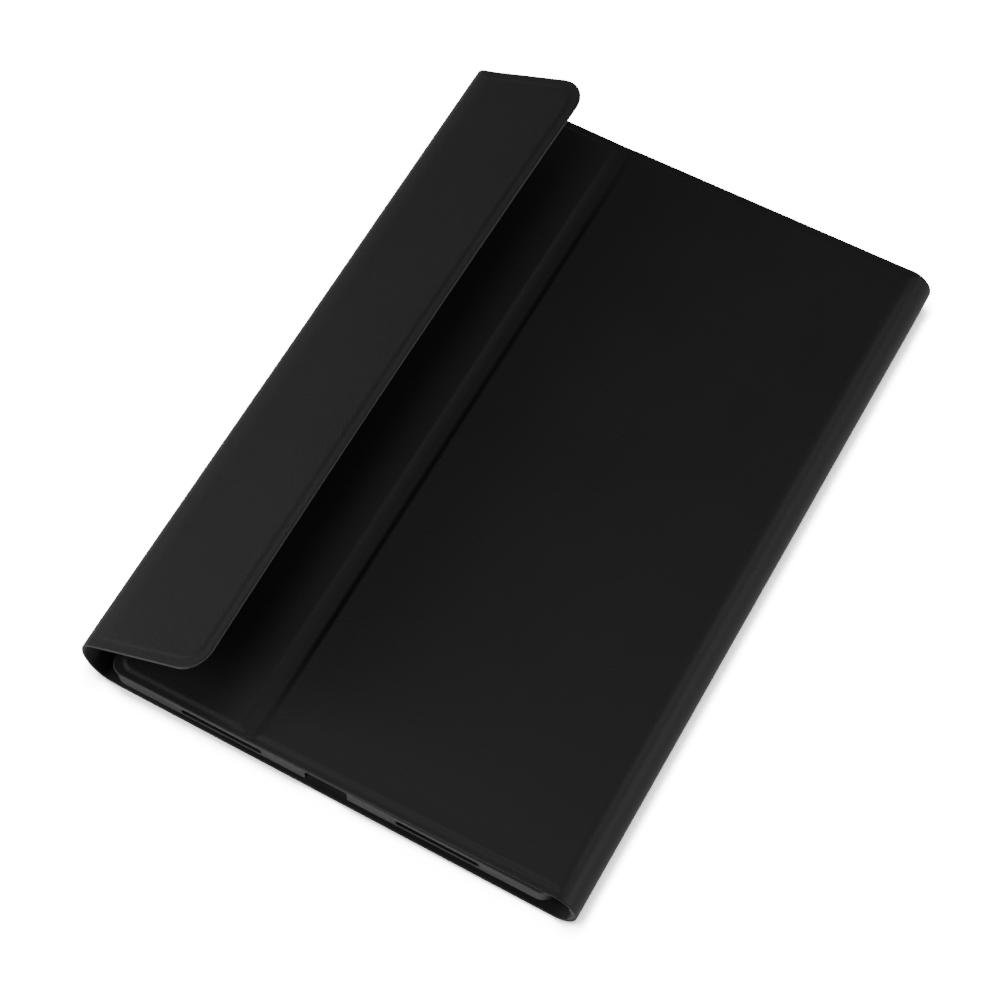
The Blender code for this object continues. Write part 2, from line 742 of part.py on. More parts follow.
def build():
    clear_scene()
    root = pivot("front_cover_pivot", (0, 0, 0))
    front_cover(root)
    keyboard(root)
    parent = root
    for i, (start, end) in enumerate(zip(STRIP_FOLDS, STRIP_FOLDS[1:])):
        parent = pivot(f"flap_strip_{i + 1}_pivot", (start[0], 0, start[1]), parent)
        strip_link(i + 1, parent, start, end, STRIP_TRIMS[i])
    x, z = STRIP_FOLDS[-1]
    closure_flap(pivot("flap_pivot", (x, 0, z), parent))
    x, z = SPINE_LOWER_FOLD
    spine_pivot = pivot("spine_pivot", (x, 0, z), root)
    spine(spine_pivot)
    x, z = SPINE_UPPER_FOLD
    stand_pivot = pivot("stand_panel_pivot", (x, 0, z), spine_pivot)
    stand_panel(stand_pivot)
    x, z = STAND_FOLD
    tablet_pivot = pivot("tablet_panel_pivot", (x, 0, z), stand_pivot)
    tablet_panel(tablet_pivot)
    tablet_tray(tablet_pivot)
    bpy.context.view_layer.update()


build()
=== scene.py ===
"""The looks of a tablet keyboard case: soft skins, linings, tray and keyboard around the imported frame.

Lengths named here are in millimetres; objects are in metres. The outer skin is one continuous sheet
that runs from the small panel over the groove, the stand panel and the spine, under the front cover,
round the soft strip and up the closure flap. It is made as one path, cut into a piece per fold.
"""

import json
import math

import bmesh
import bpy
import numpy as np
from mathutils import Matrix, Vector, noise


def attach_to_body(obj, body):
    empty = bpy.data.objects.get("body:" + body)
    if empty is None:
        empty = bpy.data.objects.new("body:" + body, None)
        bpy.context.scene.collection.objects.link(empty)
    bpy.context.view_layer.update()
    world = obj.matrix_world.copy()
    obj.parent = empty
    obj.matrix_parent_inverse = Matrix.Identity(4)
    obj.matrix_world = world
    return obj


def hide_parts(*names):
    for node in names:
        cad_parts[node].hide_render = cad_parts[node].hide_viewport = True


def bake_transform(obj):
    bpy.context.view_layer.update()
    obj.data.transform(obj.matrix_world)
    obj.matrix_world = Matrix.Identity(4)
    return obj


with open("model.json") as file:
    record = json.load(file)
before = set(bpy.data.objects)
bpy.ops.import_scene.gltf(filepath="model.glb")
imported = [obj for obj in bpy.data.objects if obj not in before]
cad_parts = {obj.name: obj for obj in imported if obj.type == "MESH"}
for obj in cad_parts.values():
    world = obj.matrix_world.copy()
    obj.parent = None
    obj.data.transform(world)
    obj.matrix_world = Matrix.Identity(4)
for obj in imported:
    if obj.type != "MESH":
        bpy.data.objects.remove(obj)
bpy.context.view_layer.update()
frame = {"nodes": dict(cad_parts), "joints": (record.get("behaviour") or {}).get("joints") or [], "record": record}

MM = 0.001
JOINTS = {joint["name"]: joint for joint in frame["joints"]}

# Camera, from the photograph's viewing angle: place in millimetres, and its three axes
CAMERA_PLACE = (185.02, -402.37, 812.39)
CAMERA_RIGHT = (0.87626, 0.48088, 0.03058)
CAMERA_UP = (-0.43704, 0.76645, 0.47070)
CAMERA_BACK = (0.20291, -0.42582, 0.88176)
CAMERA_LENS = 102.0

# Sheets: half of the case's length, the flat margin round each board, and the layers' thicknesses.
# The lining's outer face lies LAYER under the skin's, and a cut edge is rounded over RIM.
HALF = 127.0
MARGIN = 1.9
SKIN = 0.5
LINING = 0.4
LINING_INSET = 0.15
LINING_ROUNDING = 0.8
LAYER = 0.6
RIM = 0.35
RIM_DROP = 0.22

# How high the skin stands over its boards: in a panel's middle, at the case's ends, beside the groove
# and on the flap. It climbs over STEP_WIDTH, which starts STEP_LEAD outside the board's outline.
CAP = 0.8
END_CAP = 0.5
STAND_CAP = 0.45
FLAP_CAP = 0.22
CROWN_START = 4.0
CROWN_WIDTH = 18.0
STEP_WIDTH = 2.0
STEP_LEAD = 0.15
BOARD_CORNER = 5.0
LINING_RISE = 0.9

# The sheets' unevenness: each wave's depth, how fast it runs across and along the case, and its seed
WAVES = ((0.10, 0.018, 0.014, 1.0), (0.03, 0.07, 0.06, 8.0))

# The case's section, close to the frame's: where its straight runs start and how they slope, the spine's
# half ellipse, and the knots of the soft strip's curve
TRAY_START = (-75.6, 9.25)
TRAY_ANGLE = 1.2
STAND_START = (-24.7, 11.45)
STAND_ANGLE = 2.61
STAND_LENGTH = 104.3
SMALL_START = -1.4
SMALL_END = 47.6
SMALL_FACE = 0.8
SMALL_CORNER = 4.8
GROOVE_END = 50.6
SPINE_CENTRE = (80.2, 8.2)
SPINE_RADII = (7.85, 8.2)
FRONT_START = 76.0
FRONT_EDGE = -72.0
STRIP_CURVE = (
    (-75.0, 0.1),
    (-79.8, 1.2),
    (-83.7, 4.8),
    (-85.7, 9.2),
    (-86.1, 12.1),
    (-85.9, 15.0),
    (-85.2, 17.6),
    (-83.9, 19.6),
    (-81.5, 21.25),
)

# The path through those runs has a point every PATH_PITCH, averaged with PATH_REACH points on each side
PATH_PITCH = 0.1
PATH_REACH = 4

# Widths of the raised boards' slopes to the groove and to the spine. A power over 1 makes a slope start
# at a crisp edge and flatten out. The last two are how far a slope lies outside the stand's named places.
GROOVE_SLOPE = 3.2
GROOVE_POWER = 1.8
STAND_SLOPE = 2.0
SPINE_SLOPE = 3.3
SPINE_POWER = 1.3
STAND_LEAD = 0.85
SPINE_LEAD = 0.7

# How far short of its fold each panel's own skin ends; the fold's piece covers the rest
SMALL_SHORT = 5.0
STAND_SHORT = (3.0, 5.0)

# Closure flap: its edge runs a little further out at both ends, and its far end is short and lower.
# FLAP_RISE is where its board starts and ends climbing, past the flap's fold. BITE is how deep the
# board sinks into the skin, and INSET_SHRINK how much tighter a corner gets for each millimetre inwards.
FLAP_ANGLE = 28.6
FLAP_TWIST = 1.9
FLAP_START = 6.7
FLAP_LENGTH = 45.1
FLAP_FLARE = 1.65
FLAP_SKEW = 0.9
FLAP_CORNERS = (9.0, 12.0)
FLAP_FAR_INSET = 2.5
FLAP_MARGIN = 2.6
FLAP_RISE = (-1.0, 6.5)
FLAP_BOARD = 0.7
BITE = 0.2
INSET_SHRINK = 0.7

# Tray: its crowned back, the heel round its wall's foot, and the lip that holds the tablet
TRAY_SPAN = (-0.9, 154.5)
TRAY_HALF = 126.6
TRAY_DEPTH = 6.6
TRAY_WALL = 1.2
TRAY_LIP = 1.3
TRAY_FLOOR = 1.1
TRAY_CORNER = 5.0
TRAY_CROWN = 1.0
TRAY_HEEL = 0.5
LIP_HALF = 0.4
LIP_NOSE = 0.35
SLOT_HEIGHTS = (-5.2, -2.5)
SLOT_SPANS = ((24.9, 53.9), (101.0, 130.2))
NOTCH_SPAN = (69.2, 84.1)
CUT_BEVEL = 0.16

# Keys: (inset, height from the top) of each ring of a cap
CAP_CORNER = 1.3
CAP_CHAMFER = 0.3
CAP_RINGS = (
    (0.0, -2.05),
    (0.0, -0.6),
    (0.06, -0.3),
    (0.18, -0.1),
    (0.35, -0.02),
    (0.6, 0.0),
    (1.6, -0.05),
    (3.0, -0.1),
    (4.5, -0.12),
)

# Shading of edges and bevels, as angles between faces in degrees
SMOOTH_ANGLE = 32
BEVEL_ANGLE = 50

# Studio
FLOOR_DROP = 0.05
# The floor's painted contact shadow: how far from the case ambient occlusion darkens its glow, and how sharply
PAINTED_SHADOW_REACH = 6.0
PAINTED_SHADOW_POWER = 7.0
FLOOR_GLOW = 16.0
FLOOR_BOUNCE = 0.32
WORLD_STRENGTH = 0.125

# Lamps: name, place in metres, diameter in metres and power in watts
LIGHT_AIM = (0, 0, 0.01)
LIGHTS = (
    ("top_box", (-0.2, -0.1, 1.2), 0.6, 2.46),
    ("left_low_box", (-0.7, -0.5, 0.3), 0.5, 5.8),
    ("left_far_box", (-0.87, 0.44, 0.24), 0.5, 0.1),
    ("right_far_box", (0.66, 0.43, 0.61), 0.5, 1.3),
    ("right_near_box", (0.80, 0.05, 0.45), 0.5, 1.9),
)


def smooth(value):
    """A value from 0 to 1 with soft ends; it stays there beyond them."""
    t = min(1.0, max(0.0, value))
    return t * t * (3 - 2 * t)


# ---------------------------------------------------------------- section path


class Line:
    """A straight run across the case: s along it, n out of its left side."""

    def __init__(self, start, angle):
        turn = math.radians(angle)
        self.start = start
        self.along = (math.cos(turn), math.sin(turn))

    def point(self, s, n=0.0):
        cos, sin = self.along
        return (self.start[0] + s * cos - n * sin, self.start[1] + s * sin + n * cos)


def fold_place(name):
    """A fold's axis as (x, z)."""
    x, _, z = JOINTS[name]["pos_m"]
    return (x / MM, z / MM)


TRAY = Line(TRAY_START, TRAY_ANGLE)
STAND = Line(STAND_START, STAND_ANGLE)
FLAP = Line(fold_place("flap_fold"), FLAP_ANGLE)


def spline(knots, steps=60):
    """A smooth curve through knots, without its first and last, which only set its ends' directions."""
    out = []
    for a, b, c, d in zip(knots, knots[1:], knots[2:], knots[3:]):
        a, b, c, d = (np.array(k, float) for k in (a, b, c, d))
        square = 2 * a - 5 * b + 4 * c - d
        cube = 3 * b - a - 3 * c + d
        for i in range(steps):
            t = i / steps
            out.append(0.5 * (2 * b + (c - a) * t + square * t**2 + cube * t**3))
    return out


def section():
    """The points of the case's section along its outer face, and the number of each named place."""
    points = []
    places = {}

    def add(point, name=None):
        points.append(np.array(point))
        if name:
            places[name] = len(points) - 1

    add(TRAY.point(SMALL_START, SMALL_FACE), "small_start")
    add(TRAY.point(SMALL_END, SMALL_FACE), "small_end")
    add(TRAY.point(GROOVE_END - 0.6, SMALL_FACE))
    add(STAND.point(0.6), "stand_start")
    add(STAND.point(STAND_LENGTH - 1.0), "stand_end")
    spine_places = {22: "spine_top", 68: "spine_bottom"}
    for i in range(91):
        turn = math.radians(88 - 178 * i / 90)
        x = SPINE_CENTRE[0] + SPINE_RADII[0] * math.cos(turn)
        add((x, SPINE_CENTRE[1] + SPINE_RADII[1] * math.sin(turn)), spine_places.get(i))
    add((FRONT_START, 0.0), "front_start")
    add((FRONT_EDGE, 0.0), "front_end")
    flap_start = FLAP.point(FLAP_START)
    before = ((FRONT_EDGE - 1, 0.0), (FRONT_EDGE, 0.0))
    for point in spline([*before, *STRIP_CURVE, flap_start, FLAP.point(FLAP_START + 4)])[1:]:
        add(point)
    add(flap_start, "flap_start")
    add(FLAP.point(FLAP_LENGTH + 6))
    return np.array(points), places


def softened_line(line, reach):
    """A line with each point averaged with those near it; its first and last few points stay."""
    kernel = np.hanning(2 * reach + 3)[1:-1]
    kernel /= kernel.sum()
    padded = np.concatenate([line[:1].repeat(reach, 0), line, line[-1:].repeat(reach, 0)])
    ends = slice(reach, -reach)
    soft = np.column_stack([np.convolve(padded[:, i], kernel, "same")[ends] for i in (0, 1)])
    soft[:reach], soft[-reach:] = line[:reach], line[-reach:]
    return soft


class Path:
    """The outer face of the case's section by its length, with named places along it."""

    def __init__(self):
        points, places = section()
        gaps = np.linalg.norm(np.diff(points, axis=0), axis=1)
        length = np.concatenate([[0], np.cumsum(gaps)])
        self.places = {name: length[i] for name, i in places.items()}
        self.grid = np.arange(0, length[-1], PATH_PITCH)
        line = np.column_stack([np.interp(self.grid, length, points[:, i]) for i in (0, 1)])
        self.line = softened_line(line, PATH_REACH)
        slope = np.gradient(self.line, axis=0)
        slope /= np.linalg.norm(slope, axis=1)[:, None]
        self.out = np.column_stack([-slope[:, 1], slope[:, 0]])

    def nearest(self, x, z, low, high):
        """The length at the path's nearest point to (x, z), between two lengths."""
        inside = (self.grid >= low) & (self.grid <= high)
        gap = np.hypot(self.line[:, 0] - x, self.line[:, 1] - z)
        return self.grid[np.argmin(np.where(inside, gap, 1e9))]

    def point(self, s, n):
        """The point (x, z) at a length, n out of the face."""
        x, z = (np.interp(s, self.grid, self.line[:, i]) for i in (0, 1))
        nx, nz = (np.interp(s, self.grid, self.out[:, i]) for i in (0, 1))
        return x + n * nx, z + n * nz


PATH = Path()
AT = PATH.places
BOARD_SPLIT = AT["small_end"] + 1.0  # lengths below this belong to the small panel
FLAP_ROOT = fold_place("flap_fold")


def middle_of(first, second):
    """The path's length halfway along a link of the strip, between two folds."""
    (x0, z0), (x1, z1) = fold_place(first), fold_place(second)
    return PATH.nearest((x0 + x1) / 2, (z0 + z1) / 2, AT["front_end"], AT["flap_start"])


LINK_1 = middle_of("flap_strip_fold_1", "flap_strip_fold_2")
LINK_2 = middle_of("flap_strip_fold_2", "flap_strip_fold_3")
LINK_3 = middle_of("flap_strip_fold_3", "flap_fold")


def place(s, y, n):
    """A point of the case from its length along the path, its place along the case and its height."""
    x, z = PATH.point(s, n)
    if s > LINK_3:
        turn = math.radians(-FLAP_TWIST * y / HALF) * smooth((s - LINK_3) / (AT["flap_start"] - LINK_3))
        dx, dz = x - FLAP_ROOT[0], z - FLAP_ROOT[1]
        x = FLAP_ROOT[0] + dx * math.cos(turn) - dz * math.sin(turn)
        z = FLAP_ROOT[1] + dx * math.sin(turn) + dz * math.cos(turn)
    if s > LINK_1 and y > 0:
        y -= FLAP_FAR_INSET * y / HALF * smooth((s - LINK_1) / (AT["flap_start"] - LINK_1))
    return Vector((x, y, z)) * MM


# ------------------------------------------------------------- board outlines


def rounded_inside(s, y, s0, s1, half, radius):
    """How far a point lies inside a rectangle with round corners; negative outside."""
    dx = abs(s - (s0 + s1) / 2) - (s1 - s0) / 2 + radius
    dy = abs(y) - half + radius
    outside = math.hypot(max(dx, 0.0), max(dy, 0.0))
    return radius - outside - min(max(dx, dy), 0.0)


def flap_end(y):
    """The path's length at the flap's free edge, before its round corners."""
    t = y / HALF
    return AT["flap_start"] - FLAP_START + FLAP_LENGTH + FLAP_FLARE * t * t - FLAP_SKEW * t


def corner_of(y):
    return FLAP_CORNERS[1] if y > 0 else FLAP_CORNERS[0]


def flap_inside(s, y, inset=0.0):
    """How far a point lies inside the flap's outline, drawn in by an inset; its root is left open."""
    radius = corner_of(y) - inset * INSET_SHRINK
    return rounded_inside(s, y, AT["flap_start"] - 200.0, flap_end(y) - inset, HALF - inset, radius)


def small_inside(s, y):
    """How far a point lies inside the small panel's outline; its inner end is left open."""
    return rounded_inside(s, y, AT["small_start"], AT["small_end"] + 200.0, HALF, SMALL_CORNER)


def board_inside(s, y):
    """How far a point of the skin lies inside the board under it; negative off the boards."""
    half = HALF - MARGIN
    if s > LINK_3:
        root = s - AT["flap_start"] + FLAP_START - FLAP_RISE[0]
        slope = STEP_WIDTH / (FLAP_RISE[1] - FLAP_RISE[0])
        return min(flap_inside(s, y, FLAP_MARGIN), root * slope)
    if s < BOARD_SPLIT:
        start, end = AT["small_start"] + MARGIN, AT["small_end"] + 20.0
        return rounded_inside(s, y, start, end, half, BOARD_CORNER)
    start = s - AT["stand_start"] + STAND_LEAD
    return min(half - abs(y), start * STEP_WIDTH / STAND_SLOPE)


def board_fall(s):
    """How much of a board's height is left where it slopes down to the groove or to the spine."""
    if s > LINK_3:
        return 1.0
    if s < BOARD_SPLIT:
        return min(1.0, max(0.0, (AT["small_end"] - s) / GROOVE_SLOPE)) ** GROOVE_POWER
    left = (AT["stand_end"] + SPINE_LEAD + SPINE_SLOPE - s) / SPINE_SLOPE
    return min(1.0, max(0.0, left)) ** SPINE_POWER


def board_height(s, y):
    """The skin's height over a board, which is lower towards the case's ends and beside the groove."""
    if s > LINK_3:
        return FLAP_CAP
    height = END_CAP + (CAP - END_CAP) * smooth((HALF - abs(y) - CROWN_START) / CROWN_WIDTH)
    if s < BOARD_SPLIT:
        return height
    beside = smooth((s - AT["stand_start"]) / CROWN_WIDTH)
    return min(height, STAND_CAP + (CAP - STAND_CAP) * beside)


def unevenness(s, y):
    """A few hundredths of a millimetre of the waviness that glued sheets keep. It fades towards the
    case's two ends, and where the case lies flat on the table."""
    waves = sum(depth * noise.noise(Vector((s * a, y * b, seed))) for depth, a, b, seed in WAVES)
    lying = smooth((s - AT["front_start"] + 9.0) / 6.0) * smooth((AT["front_end"] + 9.0 - s) / 6.0)
    return waves * smooth((HALF - abs(y)) / 10.0) * (1.0 - lying)


def rim_drop(inside):
    """How far a face falls away where it is less than RIM inside a cut edge."""
    if inside >= RIM:
        return 0.0
    t = 1 - max(inside, 0.0) / RIM
    return RIM_DROP * (1 - math.sqrt(max(0.0, 1 - t * t)))


def end_drop(y):
    """The rounding of a sheet's cut edges at the case's two ends."""
    return rim_drop(HALF - abs(y))


def skin_height(s, y):
    """The skin's outer face over the path, without the rounding of its cut edges."""
    rise = min(smooth((board_inside(s, y) + STEP_LEAD) / STEP_WIDTH), board_fall(s))
    return board_height(s, y) * rise + unevenness(s, y)


# ---------------------------------------------------------------------- sheets


def spread(start, end, fine_start, fine_end, coarse=7.0):
    """Grid lines from start to end, close together for fine lengths at each end."""

    def close(length):
        steps = [0.0]
        for upto, pitch in ((RIM, RIM / 3), (length, 0.45)):
            while steps[-1] < min(upto, length) - 1e-6:
                steps.append(min(steps[-1] + pitch, length))
        return steps

    low = [start + v for v in close(fine_start)]
    high = [end - v for v in close(fine_end)]
    gap = high[-1] - low[-1]
    count = max(1, math.ceil(gap / coarse))
    between = [low[-1] + gap * i / count for i in range(1, count)]
    return low + between + high[::-1]


def even(start, end, pitch):
    """Grid lines from start to end at equal distances of at most pitch."""
    count = max(2, math.ceil((end - start) / pitch))
    return [start + (end - start) * i / count for i in range(count + 1)]


def new_object(name, mesh, materials):
    """An object made from a bmesh, shaded smooth except at its sharp edges."""
    data = bpy.data.meshes.new(name)
    mesh.to_mesh(data)
    mesh.free()
    made = bpy.data.objects.new(name, data)
    bpy.context.scene.collection.objects.link(made)
    for one in materials:
        data.materials.append(one)
    data.shade_smooth()
    data.set_sharp_from_angle(angle=math.radians(SMOOTH_ANGLE))
    return made


def add_sheet(name, columns, top, bottom, materials, cut_ends=(True, True), cut_sides=(False, False)):
    """A closed sheet over a grid. columns is a list of rows of (s, y); top and bottom give each
    point's height. Rims at the case's ends, and at the sides asked for, take the cut-edge material."""
    mesh = bmesh.new()
    upper = [[mesh.verts.new(place(s, y, top(s, y))) for s, y in row] for row in columns]
    lower = [[mesh.verts.new(place(s, y, bottom(s, y))) for s, y in row] for row in columns]
    rows, count = len(upper), len(upper[0])
    for i in range(rows - 1):
        for j in range(count - 1):
            mesh.faces.new((upper[i][j], upper[i][j + 1], upper[i + 1][j + 1], upper[i + 1][j]))
            mesh.faces.new((lower[i][j], lower[i + 1][j], lower[i + 1][j + 1], lower[i][j + 1]))

    def rim(above, below, cut_edge):
        for a, b, c, d in zip(above, above[1:], below[1:], below):
            mesh.faces.new((a, b, c, d)).material_index = 1 if cut_edge else 0

    rim([row[0] for row in upper], [row[0] for row in lower], cut_ends[0])
    rim([row[-1] for row in upper], [row[-1] for row in lower], cut_ends[1])
    rim(upper[0], lower[0], cut_sides[0])
    rim(upper[-1], lower[-1], cut_sides[1])
    bmesh.ops.recalc_face_normals(mesh, faces=mesh.faces)
    return new_object(name, mesh, materials)


Y_LINES = spread(-HALF, HALF, 11.0, 11.0, 9.0)


def grid_of(s_lines, y_lines=Y_LINES):
    """Straight rows across the case, one for each length."""
    return [[(s, y) for y in y_lines] for s in s_lines]


def corner_lines(half, near, far):
    """Lines along the case that follow a round corner at each end, and stay close for a few more
    millimetres so that the raised board's edge is smooth."""

    def side(radius):
        bend = [half - radius + radius * math.sin(math.radians(a)) for a in range(90, 0, -4)]
        return bend + [half - radius - 0.5 * i for i in range(10)]

    low, high = side(near), side(far)
    middle = even(-low[-1], high[-1], 9.0)[1:-1]
    return [-v for v in low] + middle + high[::-1]


def corner_drop(y, half, radius):
    """How far a round corner draws an edge in, at a place along it."""
    over = max(0.0, abs(y) - (half - radius))
    return radius - math.sqrt(max(0.0, radius * radius - over * over))


def tapered_grid(fixed, free, y_lines, fractions):
    """Rows from a straight line to a shaped edge, whose place free(y) gives."""
    return [[(fixed + (free(y) - fixed) * t, y) for y in y_lines] for t in fractions]


def fractions_of(length, fine_start, fine_end):
    """Fractions from 0 to 1 for the rows of a piece about that long."""
    return [v / length for v in spread(0.0, length, fine_start, fine_end, 5.0)]


def small_grid(end):
    """Rows from the small panel's inner end to its free edge at the case's outer side."""

    def free(y):
        return AT["small_start"] + corner_drop(y, HALF, SMALL_CORNER)

    y_lines = corner_lines(HALF, SMALL_CORNER, SMALL_CORNER)
    return tapered_grid(end, free, y_lines, fractions_of(48.0, 0.0, 11.0))


def flap_grid(start, inset=0.0, fine=9.0):
    """Rows from the flap's root to its free edge."""
    half = HALF - inset
    near, far = (radius - inset * INSET_SHRINK for radius in FLAP_CORNERS)

    def free(y):
        return flap_end(y) - inset - corner_drop(y, half, far if y > 0 else near)

    return tapered_grid(start, free, corner_lines(half, near, far), fractions_of(40.0, 4.0, fine))


# ------------------------------------------------------------------- materials


def shader(name, colour, roughness, metallic=0.0, specular=0.5):
    """A new material, its node tree and its Principled BSDF."""
    material = bpy.data.materials.new(name)
    material.use_nodes = True
    tree = material.node_tree
    principled = tree.nodes["Principled BSDF"]
    principled.inputs["Base Color"].default_value = (*colour, 1.0)
    principled.inputs["Roughness"].default_value = roughness
    principled.inputs["Metallic"].default_value = metallic
    principled.inputs["Specular IOR Level"].default_value = specular
    return material, tree, principled


def texture(tree, kind, size, **settings):
    """A texture node over the object's own space, whose features are about size millimetres across."""
    space = tree.nodes.get("Space") or tree.nodes.new("ShaderNodeTexCoord")
    space.name = "Space"
    node = tree.nodes.new(kind)
    node.inputs["Scale"].default_value = 1 / (size * MM)
    for key, value in settings.items():
        if key in node.inputs:
            node.inputs[key].default_value = value
        else:
            setattr(node, key, value)
    tree.links.new(space.outputs["Object"], node.inputs["Vector"])
    return node


def ramp(tree, source, low, high, start=0.0, end=1.0):
    """A value or colour that runs from low to high as source runs from start to end."""
    node = tree.nodes.new("ShaderNodeMapRange" if isinstance(low, float) else "ShaderNodeValToRGB")
    if isinstance(low, float):
        node.inputs["From Min"].default_value = start
        node.inputs["From Max"].default_value = end
        node.inputs["To Min"].default_value = low
        node.inputs["To Max"].default_value = high
        tree.links.new(source, node.inputs["Value"])
        return node.outputs["Result"]
    points = node.color_ramp.elements
    points[0].position, points[0].color = start, (*low, 1.0)
    points[1].position, points[1].color = end, (*high, 1.0)
    tree.links.new(source, node.inputs["Fac"])
    return node.outputs["Color"]


def bump(tree, principled, layers):
    """Chained bump from (height output, depth in millimetres, strength) layers."""
    last = None
    for height, depth, strength in layers:
        node = tree.nodes.new("ShaderNodeBump")
        node.inputs["Distance"].default_value = depth * MM
        node.inputs["Strength"].default_value = strength
        tree.links.new(height, node.inputs["Height"])
        if last:
            tree.links.new(last, node.inputs["Normal"])
        last = node.outputs["Normal"]
    tree.links.new(last, principled.inputs["Normal"])


def leather_material(name, colour, roughness):
    """Fine matte PU leather: small rounded grain, finer pores, and faint cloudy wear."""
    material, tree, principled = shader(name, colour, roughness, specular=0.35)
    cloud = texture(tree, "ShaderNodeTexNoise", 38.0, Detail=5.0, Roughness=0.6)
    grain = texture(tree, "ShaderNodeTexVoronoi", 0.75, feature="SMOOTH_F1", Smoothness=0.6)
    pores = texture(tree, "ShaderNodeTexNoise", 0.22, Detail=3.0, Roughness=0.65)
    dark = tuple(c * 0.93 for c in colour)
    light = tuple(c * 1.08 for c in colour)
    shade = ramp(tree, cloud.outputs["Fac"], dark, light, 0.35, 0.65)
    tree.links.new(shade, principled.inputs["Base Color"])
    rough = ramp(tree, cloud.outputs["Fac"], roughness - 0.02, roughness + 0.02, 0.3, 0.7)
    tree.links.new(rough, principled.inputs["Roughness"])
    bump(tree, principled, [(grain.outputs["Distance"], 0.10, 0.35), (pores.outputs["Fac"], 0.05, 0.3)])
    return material


def cut_edge_material():
    """The cut through the coated sheet, paler than the skin: partly the fabric under the coating, partly a painted
    highlight for the bright line of light along the sheets' edges.
    """
    material, tree, principled = shader("cut_edge", (0.05, 0.05, 0.0525), 0.7)
    fibres = texture(tree, "ShaderNodeTexNoise", 0.5, Detail=4.0)
    # Painted highlight in part: the edge's colour is raised to stand for the light that catches it
    colour = ramp(tree, fibres.outputs["Fac"], (0.03, 0.03, 0.032), (0.075, 0.075, 0.078), 0.3, 0.7)
    tree.links.new(colour, principled.inputs["Base Color"])
    bump(tree, principled, [(fibres.outputs["Fac"], 0.08, 0.4)])
    return material


def lining_material():
    """Brushed microfibre: a short soft nap with a little sheen."""
    material, tree, principled = shader("lining", (0.014, 0.014, 0.015), 0.92, specular=0.2)
    principled.inputs["Sheen Weight"].default_value = 0.12
    principled.inputs["Sheen Roughness"].default_value = 0.6
    nap = texture(tree, "ShaderNodeTexNoise", 0.35, Detail=4.0, Roughness=0.7)
    strokes = texture(tree, "ShaderNodeTexNoise", 22.0, Detail=3.0, Distortion=0.6)
    colour = ramp(tree, strokes.outputs["Fac"], (0.011, 0.011, 0.012), (0.018, 0.018, 0.019), 0.35, 0.65)
    tree.links.new(colour, principled.inputs["Base Color"])
    bump(tree, principled, [(nap.outputs["Fac"], 0.12, 0.5)])
    return material


def moulded_material(name, colour, roughness, grain=0.3, depth=0.03):
    """Moulded plastic with a fine spark-eroded texture and faint flow marks."""
    material, tree, principled = shader(name, colour, roughness, specular=0.45)
    fine = texture(tree, "ShaderNodeTexNoise", grain, Detail=3.0, Roughness=0.6)
    flow = texture(tree, "ShaderNodeTexNoise", 30.0, Detail=4.0, Distortion=0.4)
    dark = tuple(c * 0.95 for c in colour)
    light = tuple(c * 1.05 for c in colour)
    shade = ramp(tree, flow.outputs["Fac"], dark, light, 0.35, 0.65)
    tree.links.new(shade, principled.inputs["Base Color"])
    rough = ramp(tree, flow.outputs["Fac"], roughness - 0.015, roughness + 0.02, 0.35, 0.65)
    tree.links.new(rough, principled.inputs["Roughness"])
    bump(tree, principled, [(fine.outputs["Fac"], depth, 0.6)])
    return material


def board_material():
    """Dark fibre board with paler flecks."""
    material, tree, principled = shader("fibre_board", (0.035, 0.034, 0.034), 0.9, specular=0.2)
    flecks = texture(tree, "ShaderNodeTexNoise", 0.9, Detail=6.0, Roughness=0.75)
    colour = ramp(tree, flecks.outputs["Fac"], (0.024, 0.023, 0.023), (0.048, 0.047, 0.046), 0.35, 0.65)
    tree.links.new(colour, principled.inputs["Base Color"])
    bump(tree, principled, [(flecks.outputs["Fac"], 0.05, 0.5)])
    return material


def metal_material(name, colour, roughness, streaks):
    """Bare metal with streaks of a different gloss."""
    material, tree, principled = shader(name, colour, roughness, metallic=1.0)
    marks = texture(tree, "ShaderNodeTexNoise", streaks, Detail=5.0, Distortion=1.2)
    rough = ramp(tree, marks.outputs["Fac"], roughness - 0.08, roughness + 0.12, 0.3, 0.7)
    tree.links.new(rough, principled.inputs["Roughness"])
    bump(tree, principled, [(marks.outputs["Fac"], 0.01, 0.3)])
    return material


MATERIALS = {
    "outer_skin": leather_material("outer_skin", (0.0096, 0.0095, 0.0096), 0.52),
    # cut edges: partly the fabric's own paler colour, partly a painted highlight
    "cut_edge": cut_edge_material(),
    "lining": lining_material(),
    "board": board_material(),
    "magnet": metal_material("magnet", (0.62, 0.62, 0.64), 0.28, 4.0),
    "steel": metal_material("steel", (0.52, 0.52, 0.53), 0.35, 1.5),
    "tape": moulded_material("tape", (0.55, 0.55, 0.52), 0.6, 1.2, 0.04),
    "tray_plastic": moulded_material("tray_plastic", (0.010, 0.010, 0.0108), 0.45),
    "keyboard_plastic": moulded_material("keyboard_plastic", (0.020, 0.020, 0.022), 0.45),
    "key_plastic": moulded_material("key_plastic", (0.016, 0.016, 0.0175), 0.40, 0.22, 0.015),
    "circuit": moulded_material("circuit", (0.02, 0.11, 0.055), 0.45, 0.8, 0.02),
    "membrane": moulded_material("membrane", (0.42, 0.42, 0.44), 0.6, 0.8, 0.03),
    "battery": moulded_material("battery", (0.45, 0.46, 0.48), 0.3, 1.0, 0.03),
    "lens": moulded_material("lens", (0.75, 0.8, 0.75), 0.15, 1.0, 0.005),
}


